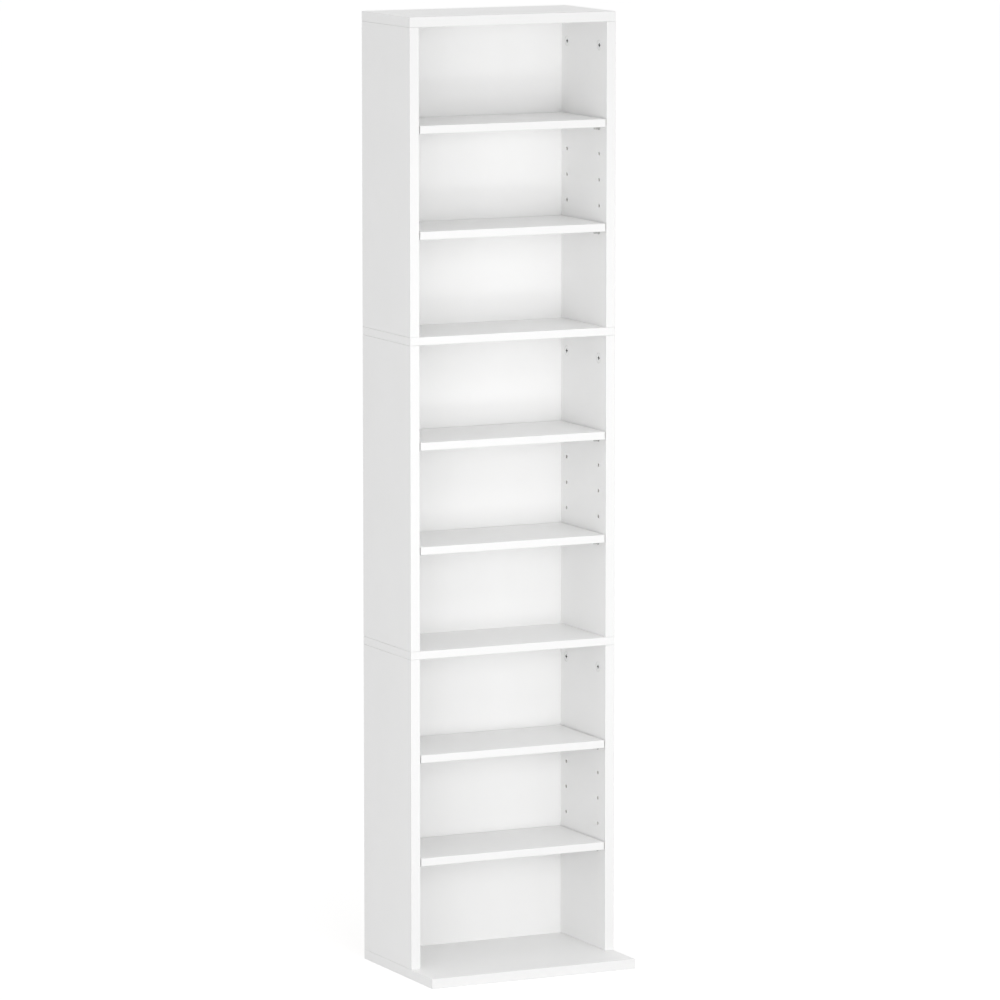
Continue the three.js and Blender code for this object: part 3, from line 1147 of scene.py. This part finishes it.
@dataclass
class SidePanels:
    """A bay's pair of side panels: the right one is modelled, and the left one mirrors it."""

    level: Level
    finish: FoilFinish
    core: CoreFinish
    groove_depth: float = 6 * MM
    pin_hole: float = 2.625 * MM
    pin_hole_depth: float = 9 * MM
    first_pin_drop: float = 157.5 * MM
    pin_pitch: float = 38.5625 * MM
    pins_in_column: int = 5
    cam_pocket: float = 7.75 * MM
    cam_pocket_depth: float = 12.5 * MM
    bolt_bore: float = 3.75 * MM
    dowel_depth: float = 10 * MM

    def face_cutters(self, low: Vector, high: Vector) -> list[Workpiece]:
        """Makes the cutters that work from the inner face: groove, pin holes and cam pockets.

        Args:
            low: The right panel's lowest corner.
            high: The right panel's highest corner.

        Returns:
            The cutters.
        """
        outside = low.x - OVERCUT
        groove = Workpiece.block(
            "groove",
            Vector((outside, GROOVE_FRONT, low.z - OVERCUT)),
            Vector((low.x + self.groove_depth, GROOVE_FRONT + GROOVE_WIDTH, high.z + OVERCUT)),
        )
        holes = []
        for column in Column:
            for row in range(self.pins_in_column):
                centre = (column.value, high.z - (self.first_pin_drop + row * self.pin_pitch))
                holes.append((centre, self.pin_hole_depth, self.pin_hole, HOLE_SIDES))
            centre = (column.value, high.z - CAM_DROP)
            holes.append((centre, self.cam_pocket_depth, self.cam_pocket, 2 * HOLE_SIDES))
        drills = [
            Workpiece.drill(Axis.X, centre, outside, low.x + depth, radius, sides)
            for centre, depth, radius, sides in holes
        ]
        return [groove, *drills]

    def end_cutters(self, low: float, high: float) -> list[Workpiece]:
        """Makes the cutters that work from the panel's two ends: bores and dowel holes.

        Args:
            low: The height of the panel's lower end.
            high: The height of its upper end.

        Returns:
            The cutters.
        """
        end = SCREWED_END if self.level is Level.LOWER else BOLTED_END
        below, above = low - OVERCUT, high + OVERCUT
        bores = []
        for column in Column:
            bores.append((column.value, high - CAM_DROP, above, self.bolt_bore))
            bores.append((column.value, below, low + end.depth, end.radius))
        bores.append((DOWEL_Y, high - self.dowel_depth, above, DOWEL_HOLE))
        bores.append((DOWEL_Y, below, low + end.dowel_depth, DOWEL_HOLE))
        return [
            Workpiece.drill(Axis.Z, (PANEL_MIDDLE, y), start, stop, radius)
            for y, start, stop, radius in bores
        ]

    def build(self) -> None:
        """Builds the right panel, and the left one as its mirror image."""
        low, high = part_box(f"side_right_{self.level.word}")
        low.z, high.z = self.level.floor, self.level.roof
        model = board("panel", low, high, Axis.Z).dress(self.finish, self.core)
        model.cut(*self.face_cutters(low, high), index=1)
        model.cut(*self.end_cutters(low.z, high.z), index=1)
        for hand in Hand:
            tail = f"{hand.word}_{self.level.word}"
            panel = model.copy(f"panel_{tail}", Matrix.Diagonal((hand.value, 1, 1, 1)))
            panel.hand_over(CARCASS, Slot.BOARD, f"side_{tail}")
        model.discard()


@dataclass
class BackPanel:
    """A thin panel in the grooves behind a bay: white in front, bare behind."""

    level: Level
    front: PaintFinish
    rear: HardboardFinish
    edge_ease: float = 0.3 * MM

    def build(self) -> None:
        """Builds the panel in the place of its CAD part."""
        node = f"back_panel_{self.level.word}"
        piece = Workpiece.block(f"thin_back_{self.level.word}", *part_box(node))
        piece.round_edges(self.edge_ease, END_FACETS, lambda line: True)
        piece.dress(self.front, self.rear)
        piece.paint(1, lambda face: face.normal.y > -FACING)
        piece.hand_over(CARCASS, Slot.BACK, node)


@dataclass
class Shelf:
    """A loose shelf, edged all round, which is lifted off its pins and drawn out."""

    number: int
    finish: FoilFinish
    edge_radius: float = 1.0 * MM
    end_radius: float = 0.5 * MM

    def build(self) -> None:
        """Builds the shelf in the place of its CAD part."""
        node = f"shelf_{self.number}"
        radii = (self.edge_radius, self.end_radius)
        piece = board(f"loose_shelf_{self.number}", *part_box(node), Axis.X, *radii)
        piece.dress(self.finish).hand_over(node, Slot.BOARD, node)


# Fittings, each modelled as it sits in the right-hand side


def spread(
    model: Workpiece, kind: str, x: float, heights: dict[str, float], slot: Slot, node: str = ""
) -> None:
    """Copies a fitting to both columns on both sides, at each height, and clears it away.

    Args:
        model: The fitting, at the origin, as it sits in the right-hand side.
        kind: The first words of the copies' names.
        x: Their distance from the tower's middle.
        heights: Their heights, each under the words that tell it in the names.
        slot: The material slot that is passed on with each copy.
        node: The first words of the CAD parts that they stand for, if they stand for any.
    """
    for (words, z), hand, column in product(heights.items(), Hand, Column):
        tail = f"{words}{hand.word}_{column.word}"
        turn = Matrix.Rotation(math.pi if hand is Hand.LEFT else 0, 4, "Z")
        place = Matrix.Translation((hand.value * x, column.value, z)) @ turn
        nodes = [f"{node}_{tail}"] if node else []
        model.copy(f"{kind}_{tail}", place).hand_over(CARCASS, slot, *nodes)
    model.discard()


@dataclass(frozen=True)
class DriverCross:
    """The cross for a driver in a face at Z = 0, with its metal above."""

    span: float
    width: float
    depth: float
    narrowing: float = 0.55

    def sink(self, piece: Workpiece, index: int = 0) -> None:
        """Cuts the cross's two arms, which are narrower at their floor than at their mouth.

        Args:
            piece: The piece that gets the cross.
            index: The slot of the piece's material that shows in the cross.
        """
        corner = Vector((self.span / 2, self.width / 2, self.depth))
        factors = (self.narrowing, self.narrowing, 1)
        for turn in (0, math.pi / 2):
            arm = Workpiece.block("arm", -corner, corner)
            arm.scale(
                Pick.FACES, lambda face: face.normal.z > FACING, factors, (0, 0, self.depth)
            )
            arm.body.data.transform(Matrix.Rotation(turn, 4, "Z"))
            piece.cut(arm, index=index)


@dataclass
class ShelfPins:
    """The steel pins under the shelves, each with a collar against its panel."""

    finish: MetalFinish
    radius: float = 2.5 * MM
    sunk: float = 8.5 * MM
    proud: float = 8.5 * MM
    collar_radius: float = 3.75 * MM
    collar: float = 1.25 * MM
    collar_ease: float = 0.2 * MM
    tip: float = 0.7 * MM
    tip_facets: int = 4

    def model(self) -> Workpiece:
        """Turns one pin, with rounded tips and a soft-edged collar.

        Returns:
            The pin, at the origin.
        """
        turns = [step * math.pi / 2 / self.tip_facets for step in range(self.tip_facets + 1)]
        tip = [
            (self.radius - self.tip * (1 - math.sin(turn)), self.tip * (1 - math.cos(turn)))
            for turn in turns
        ]
        ease, rim = self.collar_ease, self.collar_radius
        profile = [
            *((wide, high - self.sunk) for wide, high in tip),
            (self.radius, 0),
            (rim - ease, 0),
            (rim, ease),
            (rim, self.collar - ease),
            (rim - ease, self.collar),
            (self.radius, self.collar),
            *((wide, self.proud - high) for wide, high in reversed(tip)),
        ]
        pin = Workpiece.turned("pin", profile)
        pin.body.data.transform(Matrix.Rotation(-math.pi / 2, 4, "Y"))
        return pin.dress(self.finish)

    def build(self) -> None:
        """Copies the pin to its places under each shelf."""
        heights = {}
        for number in range(1, SHELVES + 1):
            low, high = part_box(f"shelf_pin_{number}_left_front")
            heights[f"{number}_"] = (low.z + high.z) / 2
        spread(self.model(), "steel_pin", INNER_FACE, heights, Slot.PIN, "shelf_pin")


@dataclass
class CamLocks:
    """The cam drums in the side panels' pockets, turned shut on their bolts."""

    finish: MetalFinish
    recess: MetalFinish
    radius: float = 7.5 * MM
    length: float = 12.25 * MM
    rim: float = 0.5 * MM
    rim_bend: tuple[float, float] = (0.225 * MM, 0.05 * MM)
    inner_ease: float = 0.25 * MM
    cross: DriverCross = DriverCross(7.5 * MM, 2.6 * MM, 2.75 * MM)
    channel: tuple[float, float] = (5.55 * MM, 6.3 * MM)
    channel_depth: float = 0.2 * MM
    hollow: float = 5.2 * MM
    hollow_reach: tuple[float, float] = (4.5 * MM, 10.5 * MM)
    slot_floor: float = 4.7 * MM
    slot_width: float = 4 * MM
    slot_turn: float = math.radians(110)
    mouth: float = 3.5 * MM
    mouth_start: float = 0.5 * MM

    def model(self) -> Workpiece:
        """Turns one drum and cuts its hollow, its slot, the bolt's mouth and its face, with painted
        shade in the face's cross.

        Returns:
            The drum, at the origin, with its face towards the tower's middle.
        """
        wide, long = self.radius, self.length
        more, less = self.rim_bend
        profile = [
            (wide - self.rim, 0),
            (wide - more, less),
            (wide - less, more),
            (wide, self.rim),
            (wide, long - self.inner_ease),
            (wide - self.inner_ease, long),
        ]
        drum = Workpiece.turned("drum", profile, 2 * HOLE_SIDES).dress(self.finish, self.recess)
        outside = wide + OVERCUT
        middle = PANEL_THICKNESS / 2
        low, high = middle - self.slot_width / 2, middle + self.slot_width / 2
        drum.cut(Workpiece.drill(Axis.Z, (0, 0), *self.hollow_reach, self.hollow))
        drum.cut(Workpiece.ring(self.slot_floor, outside, low, high, self.slot_turn))
        drum.cut(Workpiece.drill(Axis.X, (0, middle), self.mouth_start, outside, self.mouth))
        drum.cut(Workpiece.ring(*self.channel, -OVERCUT, self.channel_depth, 2 * math.pi))
        # The cross's walls take the near-black painted shade of the drum's second slot
        self.cross.sink(drum, index=1)
        into_panel = Matrix(((0, 0, 1, 0), (0, -1, 0, 0), (1, 0, 0, 0), (0, 0, 0, 1)))
        drum.body.data.transform(into_panel)
        return drum

    def build(self) -> None:
        """Copies the drum to its places near the upper end of each side panel."""
        heights = {f"{level.word}_": level.roof - CAM_DROP for level in Level}
        spread(self.model(), "cam_drum", INNER_FACE, heights, Slot.CAM, "cam_lock")


@dataclass(frozen=True)
class Thread:
    """A thread, drawn as ridges that stand side by side."""

    core: float
    crest: float
    pitch: float
    flank: float = 0.40
    crest_end: float = 0.52
    foot: float = 0.92

    def ridges(self, start: float, end: float) -> Profile:
        """Gives the profile of the threaded length.

        Args:
            start: The height of the first ridge's foot.
            end: The height that the last ridge stays under.

        Returns:
            The rings of the ridges.
        """
        rings = [(self.core, start)]
        height = start
        while height + self.pitch <= end:
            rings += [
                (self.crest, height + self.flank * self.pitch),
                (self.crest, height + self.crest_end * self.pitch),
                (self.core, height + self.foot * self.pitch),
            ]
            height += self.pitch
        return rings


@dataclass
class CamBolts:
    """The steel bolts that the cams grip, screwed up into the board or panel above."""

    finish: MetalFinish
    head: float = 2.9 * MM
    head_low: float = 1.2 * MM
    head_high: float = 4.4 * MM
    ease: float = 0.3 * MM
    neck: float = 1.6 * MM
    neck_top: float = 11.5 * MM
    shank: float = 3 * MM
    collar: float = 3.5 * MM
    collar_length: float = 2 * MM
    thread: Thread = Thread(2.1 * MM, 2.75 * MM, 1.8 * MM)
    point: float = 1 * MM
    point_radius: float = 1.05 * MM
    in_top_board: float = 11 * MM
    in_panel: float = 32 * MM
    sides: int = 24

    def model(self, reach: float) -> Workpiece:
        """Turns one bolt.

        Args:
            reach: How far its thread reaches above its collar.

        Returns:
            The bolt, standing on Z with the drum's middle at the origin.
        """
        tip = CAM_DROP + reach
        collar_low = CAM_DROP - self.collar_length
        profile = [
            (self.head - 2 * self.ease, self.head_low),
            (self.head, self.head_low + 2 * self.ease),
            (self.head, self.head_high - 3 * self.ease),
            (self.neck, self.head_high),
            (self.neck, self.neck_top),
            (self.shank - self.ease, self.neck_top),
            (self.shank, self.neck_top + self.ease),
            (self.shank, collar_low),
            (self.collar, collar_low),
            (self.collar, CAM_DROP),
            *self.thread.ridges(CAM_DROP, tip - self.point),
            (self.point_radius, tip),
        ]
        return Workpiece.turned("bolt", profile, self.sides).dress(self.finish)

    def build(self) -> None:
        """Copies the bolts to their drums."""
        for level in Level:
            model = self.model(self.in_top_board if level is Level.UPPER else self.in_panel)
            heights = {f"{level.word}_": level.roof - CAM_DROP}
            spread(model, "cam_bolt", PANEL_MIDDLE, heights, Slot.PIN)


@dataclass
class BaseScrews:
    """The countersunk screws that come up through the base into the side panels."""

    finish: MetalFinish
    length: float = 50 * MM
    head_radius: float = 4.5 * MM
    head_ease: float = 0.2 * MM
    head_height: float = 3 * MM
    neck: float = 1.9 * MM
    neck_top: float = 6 * MM
    sunk: float = 0.25 * MM
    thread: Thread = Thread(1.7 * MM, 2.5 * MM, 2.2 * MM)
    thread_start: float = 6.3 * MM
    tip: float = 5 * MM
    shoulder: tuple[float, float] = (1.02 * MM, 48 * MM)
    tip_radius: float = 0.255 * MM
    cross: DriverCross = DriverCross(4.5 * MM, 1 * MM, 2 * MM)

    def model(self) -> Workpiece:
        """Turns one screw and cuts the cross in its head.

        Returns:
            The screw, standing head down at the origin.
        """
        profile = [
            (self.head_radius - self.head_ease, 0),
            (self.head_radius, self.head_ease),
            (self.head_radius, 2 * self.head_ease),
            (self.neck, self.head_height),
            (self.neck, self.neck_top),
            *self.thread.ridges(self.thread_start, self.length - self.tip),
            self.shoulder,
            (self.tip_radius, self.length),
        ]
        screw = Workpiece.turned("screw", profile).dress(self.finish)
        self.cross.sink(screw)
        return screw

    def build(self) -> None:
        """Copies the screw to its four places."""
        heights = {"": self.sunk}
        spread(self.model(), "floor_screw", PANEL_MIDDLE, heights, Slot.SCREW, "base_screw")


@dataclass
class Dowels:
    """Fluted beech dowels, glued into the side panels' ends."""

    finish: BeechFinish
    radius: float = 4 * MM
    chamfer: float = 1 * MM
    glued: float = 10 * MM
    proud: float = 10 * MM
    through_divider: float = 26 * MM
    flutes: int = 16
    sides_to_flute: int = 4
    flute_scale: float = 0.93

    def model(self, proud: float) -> Workpiece:
        """Turns one dowel and presses its flutes in.

        Args:
            proud: How far it stands out of its panel.

        Returns:
            The dowel on Z, with the panel's end at the origin.
        """
        thin = self.radius - self.chamfer
        profile = [
            (thin, -self.glued),
            (self.radius, -self.glued + self.chamfer),
            (self.radius, proud - self.chamfer),
            (thin, proud),
        ]
        sides = self.flutes * self.sides_to_flute

        def is_low(vert: bmesh.types.BMVert) -> bool:
            """Tells a vertex at the bottom of a flute."""
            step = math.atan2(vert.co.y, vert.co.x) / (2 * math.pi) * sides
            return round(step) % self.sides_to_flute == 0

        dowel = Workpiece.turned("dowel", profile, sides)
        dowel.scale(Pick.VERTICES, is_low, (self.flute_scale, self.flute_scale, 1))
        return dowel.dress(self.finish)

    def build(self) -> None:
        """Copies dowels to the base, both dividers and the top board."""
        down, up = Matrix.Rotation(math.pi, 4, "X"), Matrix.Identity(4)
        joints = {
            "base_board": (1, self.proud, down),
            "lower_divider": (0, self.through_divider, up),
            "upper_divider": (0, self.through_divider, up),
            "top_board": (0, self.proud, up),
        }
        for node, (face, proud, turn) in joints.items():
            model = self.model(proud)
            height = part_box(node)[face].z
            for hand in Hand:
                place = Matrix.Translation((hand.value * PANEL_MIDDLE, DOWEL_Y, height)) @ turn
                model.copy(f"dowel_{node}_{hand.word}", place).hand_over(CARCASS, None)
            model.discard()


# Studio


@dataclass(frozen=True)
class Lamp:
    """A soft rectangular lamp that is aimed at a point."""

    name: str
    place: Triple
    target: Triple
    size: tuple[float, float]
    power: float

    def build(self) -> None:
        """Hangs the lamp, out of the camera's sight."""
        data = bpy.data.lights.new(self.name, "AREA")
        data.shape = "RECTANGLE"
        data.size, data.size_y = self.size
        data.energy = self.power
        lamp = bpy.data.objects.new(self.name, data)
        bpy.context.scene.collection.objects.link(lamp)
        lamp.location = self.place
        aim = Vector(self.target) - Vector(self.place)
        lamp.rotation_euler = aim.to_track_quat("-Z", "Y").to_euler()
        lamp.visible_camera = False


@dataclass
class Studio:
    """The camera, the floor, the white surroundings and the lamps."""

    camera_place: Triple = (-4.0671, -8.4716, 1.9966)
    camera_yaw: float = math.radians(25.651)
    camera_pitch: float = math.radians(7.860)
    lens: float = 230.87
    sensor: float = 36
    sight: float = 100
    ambient: float = 0.707
    floor_half: float = 30.0
    floor_gap: float = 0.1 * MM
    floor_touch: float = 0.6 * MM
    floor_bounce: Colour = (0.80, 0.80, 0.80)
    floor_glow: float = 0.78
    floor_tone: Colour = (0.32, 0.32, 0.32)
    lamps: list[Lamp] = field(
        default_factory=lambda: [
            Lamp("front_lamp", (-0.6, -4.5, 1.2), (0, 0, 0.7), (2.0, 2.0), 44),
            Lamp("left_lamp", (-2.8, -3.2, 0.7), (0, 0, 0.7), (2.0, 1.2), 24),
            Lamp("overhead_lamp", (0, -1.6, 4.0), (0, -0.2, 0), (2.5, 2.5), 7.7),
            Lamp("foot_lamp", (0, -1.1, 1.4), (0, -1.1, 0), (1.2, 0.6), 3.4),
            Lamp("low_lamp", (0.2, -3.0, 0.15), (0, 0, 0.7), (2.0, 0.3), 6.8),
        ]
    )

    def set_camera(self) -> None:
        """Sets the camera up at the photograph's angle."""
        data = bpy.data.cameras.new("camera")
        data.sensor_width = self.sensor
        data.lens = self.lens
        data.clip_end = self.sight
        camera = bpy.data.objects.new("camera", data)
        bpy.context.scene.collection.objects.link(camera)
        camera.location = self.camera_place
        camera.rotation_euler = (math.pi / 2 - self.camera_pitch, 0, -self.camera_yaw)
        bpy.context.scene.camera = camera

    def set_world(self) -> None:
        """Surrounds the tower with even light, and with plain white where it is seen."""
        world = bpy.data.worlds.new("surroundings")
        bpy.context.scene.world = world
        tree = NodeTree(world)
        light = tree.nodes["Background"]
        tree.feed(light, {"Color": WHITE, "Strength": self.ambient})
        white = tree.add("Background", {"Color": WHITE, "Strength": 1})
        ends = [node.outputs["Background"] for node in (light, white)]
        surface = tree.either(tree.seen_directly(), *ends)
        tree.feed(tree.nodes["World Output"], {"Surface": surface})

    def floor_material(self) -> bpy.types.Material:
        """Makes the floor's finish, which shows the tower's soft shadow on near-white.

        It is clear from below, and to the light of what all but touches it, so that the
        base's underside isn't black when it is looked at from under the floor.

        Returns:
            The material.
        """
        material = bpy.data.materials.new("pale_floor")
        tree = NodeTree(material)
        tree.nodes.remove(tree.nodes["Principled BSDF"])
        lit, matt = (
            tree.add("BsdfDiffuse", {"Color": colour}).outputs["BSDF"]
            for colour in (self.floor_bounce, self.floor_tone)
        )
        glow = tree.add("Emission", {"Strength": self.floor_glow}).outputs["Emission"]
        pale = tree.add("AddShader", {0: matt, 1: glow}).outputs["Shader"]
        top = tree.either(tree.seen_directly(), lit, pale)
        length = tree.add("LightPath").outputs["Ray Length"]
        touching = tree.reckon("LESS_THAN", length, self.floor_touch)
        below = tree.add("NewGeometry").outputs["Backfacing"]
        unseen = tree.reckon("MAXIMUM", below, touching)
        clear = tree.add("BsdfTransparent").outputs["BSDF"]
        surface = tree.either(unseen, top, clear)
        tree.feed(tree.nodes["Material Output"], {"Surface": surface})
        return material

    def set_floor(self) -> None:
        """Lays the pale floor just under the tower."""
        bpy.ops.object.select_all(action="DESELECT")
        bpy.ops.mesh.primitive_plane_add(size=2 * self.floor_half, location=(0, 0, -self.floor_gap))
        floor = bpy.context.view_layer.objects.active
        floor.name = "floor"
        floor.data.materials.append(self.floor_material())

    def build(self) -> None:
        """Builds the whole studio."""
        bpy.context.scene.view_settings.view_transform = "Standard"
        self.set_camera()
        self.set_world()
        self.set_floor()
        for lamp in self.lamps:
            lamp.build()


def main() -> None:
    """Builds the tower's pieces and the studio."""
    logging.basicConfig(level=logging.INFO, format="%(name)s %(message)s")
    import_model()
    finishes = Finishes()
    foil, core = finishes.foil, finishes.core

    TopBoard("board_top", "top_board", foil, core).build()
    Divider("board_upper_divider", "upper_divider", foil, core).build()
    Divider("board_lower_divider", "lower_divider", foil, core).build()
    BaseBoard("board_base", "base_board", finishes.base_foil, core).build()
    for level in Level:
        SidePanels(level, foil, core).build()
        BackPanel(level, finishes.paint, finishes.hardboard).build()
    for number in range(1, SHELVES + 1):
        Shelf(number, foil).build()
    ShelfPins(finishes.nickel).build()
    CamLocks(finishes.zinc, finishes.recess).build()
    CamBolts(finishes.nickel).build()
    BaseScrews(finishes.screw).build()
    Dowels(finishes.beech).build()
    Studio().build()


if __name__ == "__main__":
    main()
